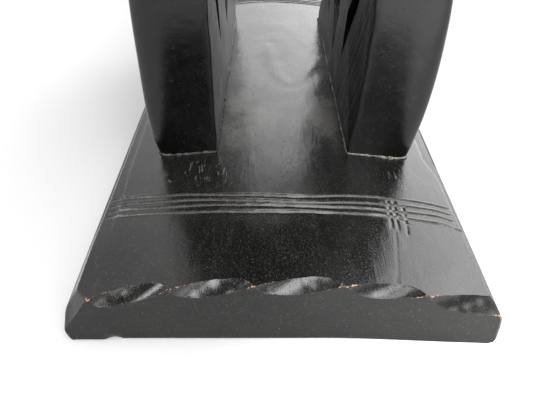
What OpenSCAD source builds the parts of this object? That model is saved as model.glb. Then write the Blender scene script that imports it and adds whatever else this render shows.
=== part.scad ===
// Carved wooden headrest, stained black.
// A cambered base board carries two uprights that run along it, swollen outward like barrel
// staves, with an open channel between them. A saddle-shaped neck rest lies on top of both.
// Pegs hidden inside the wood and a bead of glue around each foot and head hold the joints.
// Origin: middle of the underside. X is the width, Y is the length, Z is up. Millimetres.

/* [Base board] */
// Length of the base board
base_l = 333; // [300:1:360]
// Width of the base board
base_w = 130; // [126:1:136]
// Height of the crown of the board
crown_z = 22; // [20:0.5:25]
// Radius of the camber across the board
camber_r = 295; // [280:5:330]
// Sideways offset of the crown from the middle
crown_x = -3; // [-5:0.5:2]

/* [Uprights] */
// Length of each upright along the foot of its inner face
upright_l = 172; // [164:1:180]
// Lean of the end faces, outward going up, in degrees
end_lean = 5; // [3:0.5:6]
// Turn of the end faces, which makes an upright shorter on its outer side, in degrees
end_skew = 8; // [4:1:10]
// Distance from the middle to the left upright's inner face
left_inner_x = 24; // [22:0.5:26]
// Thickness of the left upright at its foot
left_foot_t = 24.5; // [23:0.5:26]
// How far the left upright's outer face swells beyond its foot
left_swell = 2.5; // [2:0.5:4]
// Distance from the middle to the right upright's inner face at the foot
right_inner_x = 26.5; // [25:0.5:28]
// Thickness of the right upright at its foot
right_foot_t = 26; // [24:0.5:27]
// How far the right upright's outer face swells beyond its foot
right_swell = 6; // [4:0.5:7]
// How far the right upright's inner face is hollowed
right_hollow = 2; // [1:0.5:2.5]
// Height where the uprights are widest
mid_z = 70; // [66:1:76]
// How far from the middle the scoops at the ends of the right upright's inner face reach
scoop_x = 31; // [30:0.5:32]

/* [Pierced slots] */
// Length of the middle slot, which stands upright
middle_slot_l = 66; // [56:1:70]
// Width of the middle slot
middle_slot_w = 25; // [16:1:28]
// Height of the middle slot's lower tip
middle_slot_z = 32; // [30:1:36]
// Length of each slanting slot
side_slot_l = 66; // [50:1:68]
// Width of each slanting slot
side_slot_w = 10; // [8:1:13]
// Lean of the slanting slots away from the middle, in degrees
side_slot_lean = 31; // [26:1:33]
// Height of the slanting slots' lower tips
side_slot_z = 40; // [38:1:44]
// Distance along the upright from the middle to the slanting slots' lower tips
side_slot_y = 34; // [30:1:36]
// How far the left upright's slots are set up along their own length
left_slot_shift = 12; // [6:1:13]

/* [Neck rest] */
// Length of the neck rest, straight across its underside
rest_l = 250; // [230:1:264]
// Width of the neck rest
rest_w = 122; // [118:1:128]
// Thickness of the neck rest
rest_t = 17; // [15:0.5:20]
// Height of the underside at the middle
rest_z = 122; // [118:1:128]
// Radius of the underside
rest_r = 187; // [180:1:200]
// Rounding of the long edges
rest_round = 5; // [3:0.5:6]

/* [Carving] */
// Depth of the oblique gouge cuts along the end arrises
gouge_depth = 2.5; // [1.5:0.1:3]
// Slant of the gouge cuts along the arris, in degrees
gouge_slant = 58; // [45:1:62]
// Width of each engraved line
line_w = 1.4; // [1:0.1:2]
// Distance from one engraved line to the next
line_pitch = 3.5; // [3:0.1:4.5]
// Distance from the end to the first engraved line
line_start = 37.5; // [30:0.5:44]

/* [Joints] */
// Diameter of the hidden pegs
peg_d = 10; // [8:0.5:12]
// Distance along the upright from the middle to each peg
peg_y = 62; // [58:1:66]
// Depth of a peg in an upright
peg_in_upright = 14; // [12:1:18]
// Depth of a peg in the base board or the neck rest
peg_in_board = 9; // [7:0.5:10]
// Width of the glue beads
bead_w = 1.6; // [1:0.1:2]

/* [Hidden] */

// Smoothness of large and small round surfaces
fine = 360;
round = 48;
// Overshoot of a cutter past the surface that it cuts
over = 1;
// Gap around a peg
peg_gap = 0.1;
// Chamfer on the ends of a peg
peg_chamfer = 1;
// A length past every solid
far = 400;

// Shape of the board's long edges: the left one is bevelled, the right one is rounded
edge_z = 8.5;
bevel_x = 9.5;
bevel_z = 17;
foot_in = 5;
right_edge_r = 10.5;
right_edge_z = 6.5;

// Radius of the scoops, the slant of their axes, and how far past the end face each is deepest
scoop_r = 206;
scoop_slant = 43;
scoop_past = 43;

// Where the gouge cuts meet along the arris, from side to side
gouge_ends = [-55.5, -32.5, -7.5, 18, 42.5, 63.5];
rest_gouge_ends = [-50, -30, -10, 10, 30, 50];
line_count = 4;

rest_centre_z = rest_z + rest_r;
rest_top_r = rest_r - rest_t;
rest_half_angle = asin(rest_l / (2 * rest_r));
top_peg_z = rest_centre_z - sqrt(rest_r * rest_r - peg_y * peg_y);

// Outer faces at the foot and where they are widest, and the radii of the faces' arcs
left_outer_x = left_inner_x + left_foot_t;
right_outer_x = right_inner_x + right_foot_t;
left_widest_x = left_outer_x + left_swell;
right_widest_x = right_outer_x + right_swell;
left_outer_r = arc_r(mid_z - crown_z, left_swell);
right_outer_r = arc_r(mid_z - crown_z, right_swell);
right_inner_r = arc_r(mid_z - crown_z, right_hollow);

// The pegs stand in the middle of each foot and each head
left_peg_x = -(left_inner_x + left_outer_x) / 2;
right_peg_x = (right_inner_x + right_outer_x) / 2;
left_top_peg_x = -(left_inner_x + left_widest_x - draw_in(left_outer_r, top_peg_z)) / 2;
right_top_peg_x = (scoop_x + right_widest_x - draw_in(right_outer_r, top_peg_z)) / 2;

wood = "#1b1a18";
wood_inner = "#2a2622";
peg_wood = "#b08a5a";
glue = "#8d8276";

// Radius of an arc from half its chord and its rise
function arc_r(half, rise) = (half * half + rise * rise) / (2 * rise);

// How far a face of radius r has drawn in at height z from where it is widest
function draw_in(r, z) = r - sqrt(r * r - (z - mid_z) * (z - mid_z));

// ---------- shared shapes ----------

// Round bar along Y whose surface is the camber, or lies outside it by grow
module camber_bar(grow = 0) {
    translate([crown_x, 0, crown_z - camber_r])
        rotate([90, 0, 0])
            cylinder(r = camber_r + grow, h = far, center = true, $fn = fine);
}

// Round bar along X whose surface is the underside of the neck rest, or outside it by grow
module rest_bar(grow = 0) {
    translate([0, 0, rest_centre_z])
        rotate([0, 90, 0])
            cylinder(r = rest_r + grow, h = far, center = true, $fn = fine);
}

// Oblique channel cut across an arris that runs along X through the origin.
// The wood lies behind it (+Y) and below it (-Z).
module gouge(chord) {
    reach = chord * cos(gouge_slant) / 2;
    r = arc_r(reach, gouge_depth);
    rotate([-45, 0, 0])
        translate([0, gouge_depth - r, 0])
            rotate([0, gouge_slant, 0])
                cylinder(r = r, h = chord * 1.6, center = true, $fn = round * 2);
}

// Pointed leaf standing on its lower tip, in the XY plane
module leaf(len, width) {
    r = arc_r(len / 2, width / 2);
    translate([0, len / 2])
        intersection() {
            translate([r - width / 2, 0])
                circle(r = r, $fn = fine);
            translate([width / 2 - r, 0])
                circle(r = r, $fn = fine);
        }
}

// Peg standing on its lower end
module peg(len) {
    r = peg_d / 2;
    rotate_extrude($fn = round)
        polygon([
            [0, 0],
            [r - peg_chamfer, 0],
            [r, peg_chamfer],
            [r, len - peg_chamfer],
            [r - peg_chamfer, len],
            [0, len]
        ]);
}

// The two pegs of one joint, in line along Y
module peg_pair(x, z) {
    for (side = [-1, 1])
        translate([x, side * peg_y, z - (z > rest_z ? peg_in_upright : peg_in_board)])
            peg(peg_in_upright + peg_in_board);
}

// The two bores of one joint, from a depth below z to a height above it
module peg_bores(x, z, below, above) {
    for (side = [-1, 1])
        translate([x, side * peg_y, z - below])
            cylinder(d = peg_d + 2 * peg_gap, h = below + above, $fn = round);
}

// ---------- base board ----------

module board_section() {
    left = -base_w / 2;
    right_centre = base_w / 2 - right_edge_r;
    intersection() {
        translate([crown_x, crown_z - camber_r])
            circle(r = camber_r, $fn = fine);
        union() {
            polygon([
                [left + foot_in, 0],
                [left + 0.8, edge_z / 2],
                [left, edge_z],
                [left + 1, edge_z + 2],
                [left + bevel_x, bevel_z],
                [left + bevel_x, crown_z + over],
                [right_centre, crown_z + over],
                [right_centre, 0]
            ]);
            intersection() {
                translate([right_centre, right_edge_z])
                    circle(r = right_edge_r, $fn = fine);
                translate([right_centre, 0])
                    square([right_edge_r + over, crown_z]);
            }
        }
    }
}

// Gouge cuts along the top arris of the front end
module base_gouges() {
    for (i = [0 : len(gouge_ends) - 2]) {
        middle = (gouge_ends[i] + gouge_ends[i + 1]) / 2;
        translate([crown_x, -base_l / 2, crown_z - camber_r])
            rotate([0, asin((middle - crown_x) / camber_r), 0])
                translate([0, 0, camber_r])
                    gouge(gouge_ends[i + 1] - gouge_ends[i]);
    }
}

// Engraved lines across the board, which follow the camber
module base_lines() {
    for (i = [0 : line_count - 1])
        translate([crown_x, line_start + i * line_pitch - base_l / 2, crown_z - camber_r])
            rotate([90, 0, 0])
                rotate_extrude($fn = fine)
                    translate([camber_r, 0])
                        rotate(45)
                            square(line_w / sqrt(2), center = true);
}

module base() {
    color(wood)
        difference() {
            rotate([90, 0, 0])
                linear_extrude(height = base_l, center = true)
                    board_section();
            for (end = [0, 1])
                mirror([0, end, 0]) {
                    base_gouges();
                    base_lines();
                }
            peg_bores(left_peg_x, crown_z, peg_in_board + peg_gap, over);
            peg_bores(right_peg_x, crown_z, peg_in_board + peg_gap, over);
        }
}

// ---------- uprights ----------

// All that lies past the leaning, turned end faces of an upright; side is -1 for the left one
module past_ends(side, inner_x, grow) {
    for (end = [0, 1])
        mirror([0, end, 0])
            translate([side * inner_x, -upright_l / 2 - grow, crown_z])
                rotate([end_lean, 0, side * end_skew])
                    translate([-far / 2, -far, -far / 2])
                        cube(far);
}

// Shallow scoops that open the right upright's inner face towards both ends
module scoops(grow) {
    for (end = [0, 1])
        mirror([0, end, 0])
            translate([scoop_x - scoop_r, -upright_l / 2, crown_z])
                rotate([-scoop_slant, 0, 0])
                    translate([0, -scoop_past, 0])
                        cylinder(r = scoop_r - grow, h = far, center = true, $fn = fine);
}

// Left upright: flat inner face and swollen outer face.
// It is grown by the given amount, and has no slots, no bores, and no cut foot or head.
module left_body(grow) {
    difference() {
        rotate([90, 0, 0])
            linear_extrude(height = far, center = true)
                intersection() {
                    translate([left_outer_r - left_widest_x, mid_z])
                        circle(r = left_outer_r + grow, $fn = fine);
                    translate([-left_widest_x - left_swell, 0])
                        square([left_foot_t + 2 * left_swell + grow, far / 2]);
                }
        past_ends(-1, left_inner_x, grow);
    }
}

// Right upright: hollowed inner face, scooped at the ends, and more swollen outer face
module right_body(grow) {
    difference() {
        rotate([90, 0, 0])
            linear_extrude(height = far, center = true)
                difference() {
                    intersection() {
                        translate([right_widest_x - right_outer_r, mid_z])
                            circle(r = right_outer_r + grow, $fn = fine);
                        square([far / 4, far / 2]);
                    }
                    translate([right_inner_x + right_hollow - right_inner_r, mid_z])
                        circle(r = right_inner_r - grow, $fn = fine);
                }
        scoops(grow);
        past_ends(1, right_inner_x, grow);
    }
}

// The slots that pierce an upright from side to side, set up along their length by shift
module slots(shift) {
    rotate([90, 0, 90])
        linear_extrude(height = far, center = true) {
            translate([0, middle_slot_z + shift])
                leaf(middle_slot_l, middle_slot_w);
            for (side = [-1, 1])
                translate([side * side_slot_y, side_slot_z])
                    rotate(-side * side_slot_lean)
                        translate([0, shift])
                            leaf(side_slot_l, side_slot_w);
        }
}

// Cuts the foot to the camber and the head to the neck rest
module fitted() {
    difference() {
        children();
        camber_bar();
        rest_bar();
    }
}

module left_upright() {
    color(wood)
        difference() {
            fitted()
                left_body(0);
            slots(left_slot_shift);
            peg_bores(left_peg_x, crown_z, crown_z, peg_in_upright + peg_gap);
            peg_bores(left_top_peg_x, top_peg_z, peg_in_upright + peg_gap, crown_z);
        }
}

module right_upright() {
    color(wood_inner)
        difference() {
            fitted()
                right_body(0);
            slots(0);
            peg_bores(right_peg_x, crown_z, crown_z, peg_in_upright + peg_gap);
            peg_bores(right_top_peg_x, top_peg_z, peg_in_upright + peg_gap, crown_z);
        }
}

// ---------- neck rest ----------

// Section of the neck rest: its thickness along X, its width along Y
module rest_section() {
    inner = rest_top_r + rest_round;
    outer = rest_r - rest_round;
    side = rest_w / 2 - rest_round;
    union() {
        translate([rest_top_r, -side])
            square([rest_t, 2 * side]);
        translate([inner, -rest_w / 2])
            square([outer - inner, rest_w]);
        for (r = [inner, outer], y = [-side, side])
            translate([r, y])
                circle(r = rest_round, $fn = round);
    }
}

// Places a cutter at the front end of the neck rest, a distance back along its top
module at_rest_end(back) {
    translate([0, 0, rest_centre_z])
        rotate([back / rest_top_r * 180 / PI - rest_half_angle, 0, 0])
            translate([0, 0, -rest_top_r])
                children();
}

module rest_gouges() {
    for (i = [0 : len(rest_gouge_ends) - 2])
        at_rest_end(0)
            translate([(rest_gouge_ends[i] + rest_gouge_ends[i + 1]) / 2, 0, 0])
                gouge(rest_gouge_ends[i + 1] - rest_gouge_ends[i]);
}

module rest_lines() {
    for (i = [0 : line_count - 1])
        at_rest_end(line_start / 2 + i * line_pitch)
            rotate([45, 0, 0])
                cube([rest_w + over, line_w / sqrt(2), line_w / sqrt(2)], center = true);
}

module neck_rest() {
    color(wood)
        difference() {
            translate([0, 0, rest_centre_z])
                rotate([0, 90, 0])
                    rotate(-rest_half_angle)
                        rotate_extrude(angle = 2 * rest_half_angle, $fn = fine)
                            rest_section();
            for (end = [0, 1])
                mirror([0, end, 0]) {
                    rest_gouges();
                    rest_lines();
                }
            peg_bores(left_top_peg_x, top_peg_z, crown_z, peg_in_board + peg_gap);
            peg_bores(right_top_peg_x, top_peg_z, crown_z, peg_in_board + peg_gap);
        }
}

// ---------- pegs ----------

module left_base_pegs() {
    color(peg_wood)
        peg_pair(left_peg_x, crown_z);
}

module right_base_pegs() {
    color(peg_wood)
        peg_pair(right_peg_x, crown_z);
}

module left_top_pegs() {
    color(peg_wood)
        peg_pair(left_top_peg_x, top_peg_z);
}

module right_top_pegs() {
    color(peg_wood)
        peg_pair(right_top_peg_x, top_peg_z);
}

// ---------- glue beads ----------

// Bead around an upright's foot; the children are its body, grown and as it is
module lower_bead() {
    color(glue)
        difference() {
            intersection() {
                children(0);
                camber_bar(bead_w);
            }
            camber_bar();
            children(1);
        }
}

// Bead around an upright's head; the children are its body, grown and as it is
module upper_bead() {
    color(glue)
        difference() {
            intersection() {
                children(0);
                rest_bar(bead_w);
            }
            rest_bar();
            children(1);
        }
}

module left_lower_bead() {
    lower_bead() {
        left_body(bead_w);
        left_body(0);
    }
}

module right_lower_bead() {
    lower_bead() {
        right_body(bead_w);
        right_body(0);
    }
}

module left_upper_bead() {
    upper_bead() {
        left_body(bead_w);
        left_body(0);
    }
}

module right_upper_bead() {
    upper_bead() {
        right_body(bead_w);
        right_body(0);
    }
}

base();
left_upright();
right_upright();
neck_rest();
left_base_pegs();
right_base_pegs();
left_top_pegs();
right_top_pegs();
left_lower_bead();
right_lower_bead();
left_upper_bead();
right_upper_bead();
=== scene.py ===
"""Looks of the carved, black-stained wooden headrest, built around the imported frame.

The shape code works in millimetres in the row frame, and make_object() turns them into metres.
The front end, which the camera looks at, is at low Y.
"""
import math
import bpy
import numpy as np
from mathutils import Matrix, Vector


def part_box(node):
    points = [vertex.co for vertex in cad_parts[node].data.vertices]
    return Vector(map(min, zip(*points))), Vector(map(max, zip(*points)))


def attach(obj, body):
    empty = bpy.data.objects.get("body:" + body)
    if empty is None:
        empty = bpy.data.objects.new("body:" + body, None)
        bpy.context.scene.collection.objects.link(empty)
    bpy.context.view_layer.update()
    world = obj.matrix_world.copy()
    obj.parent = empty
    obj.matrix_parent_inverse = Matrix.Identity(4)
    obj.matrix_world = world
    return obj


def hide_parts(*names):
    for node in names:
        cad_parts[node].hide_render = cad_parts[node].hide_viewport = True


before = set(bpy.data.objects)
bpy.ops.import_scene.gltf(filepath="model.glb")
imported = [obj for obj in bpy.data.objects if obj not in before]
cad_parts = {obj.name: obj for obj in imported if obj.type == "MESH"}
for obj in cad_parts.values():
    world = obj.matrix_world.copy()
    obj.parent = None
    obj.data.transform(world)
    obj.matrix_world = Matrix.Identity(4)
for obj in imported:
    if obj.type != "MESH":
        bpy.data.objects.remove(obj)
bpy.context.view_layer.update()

MM = 0.001


# ---------- sizes, from the frame where it holds them ----------

def box_mm(node):
    """Lowest and highest corner of a CAD node, in millimetres."""
    low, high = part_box(node)
    return np.array(low) / MM, np.array(high) / MM


BASE_LOW, BASE_HIGH = box_mm("base")
LEFT_LOW, LEFT_HIGH = box_mm("left_upright")
RIGHT_HIGH = box_mm("right_upright")[1]
REST_LOW, REST_HIGH = box_mm("neck_rest")

END_Y = BASE_HIGH[1]
CROWN_Z = BASE_HIGH[2]
CROWN_X = -3.0
CAMBER_R = 295.0
RIDGE_LEFT = -60.4
RIDGE_RIGHT = 61.0

REST_Z = REST_LOW[2]
REST_R = 187.0
REST_T = 17.0
REST_HALF_W = REST_HIGH[0]
REST_CENTRE_Z = REST_Z + REST_R
REST_ANGLE = math.asin(REST_HIGH[1] / REST_R)
REST_LINES = 4
REST_LINE_START = 18
REST_LINE_GAP = 3.4

FOOT_HALF_L = 86.0
END_LEAN = math.tan(math.radians(5)) / math.cos(math.radians(8))
END_SKEW = math.tan(math.radians(8))
END_WAVE_L = 88.0
END_WAVE_SHARE = 0.8
END_PARE_POWER = 7
UPRIGHT_CORNER_R = 1.1
WIDEST_Z = 70.0
SWELL_HALF = WIDEST_Z - CROWN_Z

BORE_RADIUS = 5.1
PEG_Y = 62.0

# Pointed slots in the uprights; TIP_Y and TIP_Z place their lower tips
SLOT_LENGTH = 66
SLOT_LEAN = math.radians(31)
MIDDLE_SLOT_W = 25
MIDDLE_TIP_Z = 32
SIDE_SLOT_W = 10
SIDE_TIP_Y = 34
SIDE_TIP_Z = 40

LINE_STARTS = (38.7, 42.2, 45.0, 48.5)
GOUGE_NODES = (-55.5, -32.5, -7.5, 18.0, 42.5, 63.5)
REST_GOUGE_NODES = (-50.0, -30.0, -10.0, 10.0, 30.0, 50.0)
GOUGE_SLANT = math.radians(58)


# ---------- small maths ----------

def arc_radius(half, rise):
    """Radius of an arc from half its chord and its rise."""
    return (half * half + rise * rise) / (2 * rise)


def bulge(z, middle, half, rise):
    """How far a circular swelling stands back from its widest point at height z."""
    r = arc_radius(half, rise)
    return r - np.sqrt(r * r - (z - middle) ** 2)


def camber_z(x):
    """Height of the base board's cambered top."""
    return CROWN_Z - CAMBER_R + np.sqrt(CAMBER_R ** 2 - (x - CROWN_X) ** 2)


def underside_z(y):
    """Height of the neck rest's underside."""
    return REST_CENTRE_Z - np.sqrt(REST_R ** 2 - y ** 2)


def smoothstep(low, high, value):
    t = np.clip((value - low) / (high - low), 0, 1)
    return t * t * (3 - 2 * t)


def noise(points, size, seed):
    """Smooth value noise from -1 to 1 at points (n, 3), with bumps of the given size or sizes."""
    p = points / np.asarray(size, float)
    cell = np.floor(p).astype(np.int64)
    part = p - cell
    part = part * part * (3 - 2 * part)
    total = np.zeros(len(p))
    for corner in range(8):
        step = np.array([corner & 1, corner >> 1 & 1, corner >> 2 & 1])
        k = (cell + step).astype(np.uint64)
        h = k[:, 0] * np.uint64(73856093) ^ k[:, 1] * np.uint64(19349663)
        h = (h ^ k[:, 2] * np.uint64(83492791)) + np.uint64(seed * 2654435761 % 2 ** 32)
        h = (h ^ (h >> np.uint64(15))) * np.uint64(2246822519) & np.uint64(0xFFFFFFFF)
        h = (h ^ (h >> np.uint64(13))) * np.uint64(3266489917) & np.uint64(0xFFFFFFFF)
        h = h ^ (h >> np.uint64(16))
        weight = np.prod(np.where(step == 1, part, 1 - part), axis=1)
        total += weight * (h.astype(float) / 2 ** 31 - 1)
    return total


def stations(*runs):
    """Positions along runs of (start, end, step), without repeats."""
    parts = [np.linspace(a, b, max(2, round(abs(b - a) / step) + 1))[:-1] for a, b, step in runs]
    return np.append(np.concatenate(parts), runs[-1][1])


def curve(points, t):
    """Catmull-Rom curve through points, at shares t of its length, from 0 to 1."""
    p = np.array(points, float)
    p = np.vstack([2 * p[0] - p[1], p, 2 * p[-1] - p[-2]])
    fine = np.linspace(0, len(points) - 1, 40 * len(points))
    i = np.minimum(fine.astype(int), len(points) - 2)
    f = (fine - i)[:, None]
    a, b, c, d = p[i], p[i + 1], p[i + 2], p[i + 3]
    line = 0.5 * (2 * b + (c - a) * f + (2 * a - 5 * b + 4 * c - d) * f ** 2
                  + (3 * b - a - 3 * c + d) * f ** 3)
    along = np.append(0, np.cumsum(np.linalg.norm(np.diff(line, axis=0), axis=1)))
    along /= along[-1]
    return np.stack([np.interp(t, along, line[:, k]) for k in range(line.shape[1])], -1)


def distance_to_path(x, y, path):
    """Distance in the XY plane from each point to a polyline."""
    best = np.full(np.shape(x), 1e9)
    for (x0, y0), (x1, y1) in zip(path[:-1], path[1:]):
        dx, dy = x1 - x0, y1 - y0
        t = np.clip(((x - x0) * dx + (y - y0) * dy) / (dx * dx + dy * dy), 0, 1)
        best = np.minimum(best, np.hypot(x - x0 - t * dx, y - y0 - t * dy))
    return best


def rounded(p, low, high, r):
    """Rounds the corners of a flat box section: p, low and high are (n, 2)."""
    q = np.clip(p, low + r, high - r)
    d = p - q
    largest = np.abs(d).max(axis=1)
    length = np.maximum(np.linalg.norm(d, axis=1), 1e-9)
    return q + d * (largest / length)[:, None]


# ---------- meshes ----------

def box_grid(us, vs, ts, flat_bottom=False):
    """Surface of a block of grid points: (u, v, t) of each point, and its quads.
    flat_bottom makes the lowest face one polygon."""
    shape = (len(us), len(vs), len(ts))
    inside = np.zeros(shape, bool)
    inside[1:-1, 1:-1, 1:-1] = True
    if flat_bottom:
        inside[1:-1, 1:-1, 0] = True
    index = np.full(shape, -1)
    index[~inside] = np.arange((~inside).sum())
    params = np.stack(np.meshgrid(us, vs, ts, indexing="ij"), -1)[~inside]

    def quads(sheet, flip):
        a, b, c, d = sheet[:-1, :-1], sheet[1:, :-1], sheet[1:, 1:], sheet[:-1, 1:]
        order = (a, d, c, b) if flip else (a, b, c, d)
        return np.stack([k.ravel() for k in order], -1).tolist()

    faces = quads(index[:, :, -1], False)
    faces += quads(index[:, 0, :], False) + quads(index[:, -1, :], True)
    faces += quads(index[0, :, :], True) + quads(index[-1, :, :], False)
    if flat_bottom:
        loop = np.concatenate([index[:-1, 0, 0], index[-1, :-1, 0],
                               index[:0:-1, -1, 0], index[0, :0:-1, 0]])
        faces.append(loop[::-1].tolist())
    else:
        faces += quads(index[:, :, 0], True)
    return params, faces


def make_object(name, points, faces, **attributes):
    """Object from points in millimetres, with named values on its points."""
    mesh = bpy.data.meshes.new(name)
    mesh.from_pydata((points * MM).tolist(), [], faces)
    for key, values in attributes.items():
        layer = mesh.attributes.new(key, "FLOAT", "POINT")
        layer.data.foreach_set("value", np.asarray(values, np.float32))
    mesh.validate()
    obj = bpy.data.objects.new(name, mesh)
    bpy.context.scene.collection.objects.link(obj)
    return obj


def read_points(obj):
    co = np.zeros(len(obj.data.vertices) * 3)
    obj.data.vertices.foreach_get("co", co)
    return co.reshape(-1, 3) / MM


def read_values(obj, key):
    values = np.zeros(len(obj.data.vertices))
    if key in obj.data.attributes:
        obj.data.attributes[key].data.foreach_get("value", values)
    return values


def write_values(obj, key, values):
    layer = obj.data.attributes.get(key) or obj.data.attributes.new(key, "FLOAT", "POINT")
    layer.data.foreach_set("value", np.asarray(values, np.float32))


def join_parts(name, parts):
    """One object from several (points, faces, cut) parts that don't touch."""
    points, faces, cuts, first = [], [], [], 0
    for part_points, part_faces, cut in parts:
        points.append(part_points)
        faces += [[i + first for i in face] for face in part_faces]
        cuts.append(np.full(len(part_points), cut))
        first += len(part_points)
    return make_object(name, np.vstack(points), faces, cut=np.concatenate(cuts))


def cut_away(obj, cutter):
    """Cuts the cutter out of obj and deletes the cutter."""
    modifier = obj.modifiers.new("cut", "BOOLEAN")
    modifier.object = cutter
    modifier.operation = "DIFFERENCE"
    modifier.solver = "EXACT"
    evaluated = obj.evaluated_get(bpy.context.evaluated_depsgraph_get())
    mesh = bpy.data.meshes.new_from_object(evaluated)
    obj.modifiers.clear()
    obj.data = mesh
    bpy.data.objects.remove(cutter)


def shade(obj, angle=38):
    """Smooth shading, with edges sharper than the angle left hard."""
    obj.data.shade_smooth()
    obj.data.set_sharp_from_angle(angle=math.radians(angle))


def edge_wear(obj, low=24, high=60):
    """From 0 to 1 at each vertex: how sharp the sharpest outward edge there is."""
    mesh = obj.data
    loops = len(mesh.loops)
    edge_of = np.zeros(loops, int)
    mesh.loops.foreach_get("edge_index", edge_of)
    totals = np.zeros(len(mesh.polygons), int)
    mesh.polygons.foreach_get("loop_total", totals)
    face_of = np.repeat(np.arange(len(totals)), totals)
    normals = np.zeros(len(totals) * 3)
    mesh.polygons.foreach_get("normal", normals)
    centres = np.zeros(len(totals) * 3)
    mesh.polygons.foreach_get("center", centres)
    normals, centres = normals.reshape(-1, 3), centres.reshape(-1, 3)
    order = np.argsort(edge_of, kind="stable")
    e, f = edge_of[order], face_of[order]
    pair = np.nonzero(e[:-1] == e[1:])[0]
    one, two = f[pair], f[pair + 1]
    turn = np.degrees(np.arccos(np.clip((normals[one] * normals[two]).sum(1), -1, 1)))
    outward = ((centres[two] - centres[one]) * normals[one]).sum(1) < 0
    amount = smoothstep(low, high, turn) * outward
    ends = np.zeros(len(mesh.edges) * 2, int)
    mesh.edges.foreach_get("vertices", ends)
    ends = ends.reshape(-1, 2)[e[pair]]
    wear = np.zeros(len(mesh.vertices))
    np.maximum.at(wear, ends[:, 0], amount)
    np.maximum.at(wear, ends[:, 1], amount)
    return wear


# ---------- gouge cuts ----------

def gouge_part(start, end, top_normal, end_normal, depth, seed):
    """Closed cutter for one oblique gouge cut across the arris from start to end."""
    start, end = np.array(start, float), np.array(end, float)
    chord = np.linalg.norm(end - start)
    along = (end - start) / chord
    outward = np.add(top_normal, end_normal) / math.sqrt(2)
    upward = np.subtract(top_normal, end_normal) / math.sqrt(2)
    axis = math.cos(GOUGE_SLANT) * upward + math.sin(GOUGE_SLANT) * along
    side = np.cross(axis, outward)
    reach = chord * math.cos(GOUGE_SLANT) / 2
    r = arc_radius(reach, depth)
    angles = np.linspace(-80, 80, 41) * math.pi / 180
    steps = np.linspace(-chord * 0.72, chord * 0.72, 61)
    centre = (start + end) / 2 + outward * (r - depth)
    s, a = np.meshgrid(steps, angles, indexing="ij")
    flat = np.stack([s.ravel(), a.ravel() * r, np.full(s.size, seed)], -1)
    ripple = 0.10 * noise(flat, (2.2, 30, 1), seed) + 0.16 * noise(flat, (9, 6, 1), seed + 7)
    radius = r + ripple
    points = (centre + np.outer(s.ravel(), axis) + np.outer(radius * np.sin(a.ravel()), side)
              - np.outer(radius * np.cos(a.ravel()), outward))
    rows, cols = len(steps), len(angles)
    index = np.arange(rows * cols).reshape(rows, cols)
    faces = [[index[i, j], index[i, j + 1], index[i + 1, j + 1], index[i + 1, j]]
             for i in range(rows - 1) for j in range(cols - 1)]
    faces += [[index[i, 0], index[i + 1, 0], index[i + 1, -1], index[i, -1]]
              for i in range(rows - 1)]
    faces += [index[0, ::-1].tolist(), index[-1].tolist()]
    faces = [face[::-1] for face in faces]
    return points, faces, 1.0


def cut_gouges(obj, nodes, arris, depths, seed):
    """Cuts a row of gouge marks at both ends. arris(x, end) gives the point on the arris,
    the top's normal and the end's normal there; end is -1 at the front and 1 at the back."""
    for first in (0, 1):
        parts = []
        for end in (-1, 1):
            for i in range(first, len(nodes) - 1, 2):
                a, top, out = arris(nodes[i], end)
                b = arris(nodes[i + 1], end)[0]
                along = (b - a) / np.linalg.norm(b - a)
                top = top - along * (top @ along)
                top /= np.linalg.norm(top)
                depth = depths[i % len(depths)]
                parts.append(gouge_part(a, b, top, out, depth, seed + i + 20 * (end + 1)))
        cut_away(obj, join_parts("gouges", parts))


def cylinder_part(x, y, low, high, r):
    """Closed upright cylinder, for the bore of a hidden peg or for the knot hole."""
    turn = np.linspace(0, 2 * math.pi, 33)[:-1]
    ring = np.stack([x + r * np.cos(turn), y + r * np.sin(turn)], -1)
    points = np.vstack([np.c_[ring, np.full(32, low)], np.c_[ring, np.full(32, high)]])
    faces = [[i, (i + 1) % 32, 32 + (i + 1) % 32, 32 + i] for i in range(32)]
    faces += [list(range(31, -1, -1)), list(range(32, 64))]
    return points, faces, 0.0


def cut_bores(obj, node):
    """Cuts the bores that hold a pair of hidden pegs, a little larger than the CAD pegs."""
    low, high = box_mm(node)
    x = (low[0] + high[0]) / 2
    parts = [cylinder_part(x, side * PEG_Y, low[2] - 0.1, high[2] + 0.1, BORE_RADIUS)
             for side in (-1, 1)]
    cut_away(obj, join_parts("bores", parts))


# ---------- base board ----------

# Outlines of the long edges, from the underside up to the ridge: x and z
LEFT_EDGE = ((-62.8, 0.0), (-63.6, 1.0), (-64.6, 3.8), (-64.95, 6.6), (-64.7, 8.5), (-63.3, 11.1),
             (-61.9, 13.65))
RIGHT_EDGE = ((61.5, 0.0), (63.6, 0.9), (64.7, 3.0), (65.0, 7.0), (64.1, 10.4), (62.7, 13.0))

# Raised ridge left by the gouge on the channel's floor: x and y
FLOOR_RIDGE = ((-4, 34), (-2.5, 9), (1.3, -11), (5.8, -19), (9, -16.5), (15, -3), (24, 19))

# Cuts that cross the engraved lines, and a long thin scratch: x and distance from the end
CROSS_CUTS = (((37.5, 49.5), (36.6, 33.5)), ((39.7, 50), (38.6, 32.7)), ((42.6, 48), (41.4, 30.5)),
              ((35.6, 48.5), (39.8, 44)), ((37.6, 43.5), (41.8, 39.5)), ((38.8, 39.7), (43.2, 36.1)))
LONG_SCRATCH = ((37.7, 33.5), (35.5, 17.5), (33.5, 4.5))

KNOT_X = -46.6
KNOT_FROM_END = 2.9
KNOT_FLOOR_Z = 14.6
KNOT_RADIUS = 1.0
CHIP_X = -50.3
CHIP_DEPTH = 1.4


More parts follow.
